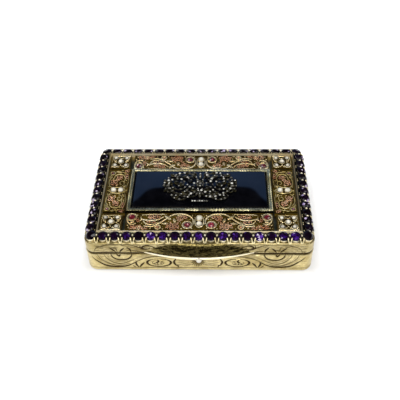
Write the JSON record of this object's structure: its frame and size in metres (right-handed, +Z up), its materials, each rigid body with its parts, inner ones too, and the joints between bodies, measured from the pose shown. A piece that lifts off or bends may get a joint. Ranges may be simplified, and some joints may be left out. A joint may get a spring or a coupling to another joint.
{
  "type": "snuff box",
  "caption": "Shallow gilt snuff box with a hinged lid set with an amethyst border, filigree panels, pearls and an onyx plaque with a diamond spray.",
  "frame": {"origin": "centre of the flat underside of the base plate", "axes": "+X along the width to the right, +Y to the hinge at the back, +Z up"},
  "size_m": [0.0882, 0.062, 0.0202],
  "materials": {
    "gilt": "pale gilt silver, engraved and worn bright",
    "bright_gilt": "polished pale gilt silver",
    "antique_gilt": "olive toned gilt ground, matte in the recesses",
    "rose_gilt": "rose and yellow gilt filigree",
    "amethyst": "faceted deep violet stone",
    "garnet": "domed red stone",
    "pearl": "lustrous pearl",
    "onyx": "mirror polished black",
    "dark_silver": "blackened silver",
    "diamond": "rose cut colourless stones"
  },
  "bodies": {
    "body": {"base_plate": "gilt", "body_wall": "gilt", "body_bezel": "bright_gilt", "body_hinge_bearer": "gilt", "body_knuckles": "bright_gilt", "hinge_pin": "bright_gilt"},
    "lid": {"lid_wall": "gilt", "lid_plate": "gilt", "lid_lining": "bright_gilt", "lid_hinge_bearer": "gilt", "lid_knuckles": "bright_gilt", "thumb_lip": "bright_gilt", "thumb_bead": "pearl", "setting_gallery": "gilt", "border_rail": "bright_gilt", "amethysts_front": "amethyst", "amethysts_back": "amethyst", "amethysts_left": "amethyst", "amethysts_right": "amethyst", "claws_front": "bright_gilt", "claws_back": "bright_gilt", "claws_left": "bright_gilt", "claws_right": "bright_gilt", "panel_front": "antique_gilt", "panel_back": "antique_gilt", "panel_left": "antique_gilt", "panel_right": "antique_gilt", "filigree_front": "rose_gilt", "filigree_back": "rose_gilt", "filigree_left": "rose_gilt", "filigree_right": "rose_gilt", "pearls_front": "pearl", "pearls_back": "pearl", "pearls_left": "pearl", "pearls_right": "pearl", "garnets_front": "garnet", "garnets_back": "garnet", "garnets_left": "garnet", "garnets_right": "garnet", "plaque_front_left": "antique_gilt", "plaque_front_right": "antique_gilt", "plaque_back_left": "antique_gilt", "plaque_back_right": "antique_gilt", "plaque_pearls_front_left": "pearl", "plaque_pearls_front_right": "pearl", "plaque_pearls_back_left": "pearl", "plaque_pearls_back_right": "pearl", "onyx_frame": "bright_gilt", "onyx_plaque": "onyx", "spray_frame": "dark_silver", "spray_diamonds": "diamond", "spray_nuts": "dark_silver"}
  },
  "joints": [
    {"name": "lid_hinge", "type": "hinge", "parent": "body", "child": "lid", "pos_m": [0, 0.02845, 0.00988], "axis": [-1, 0, 0], "range_deg": [0, 100]}
  ]
}
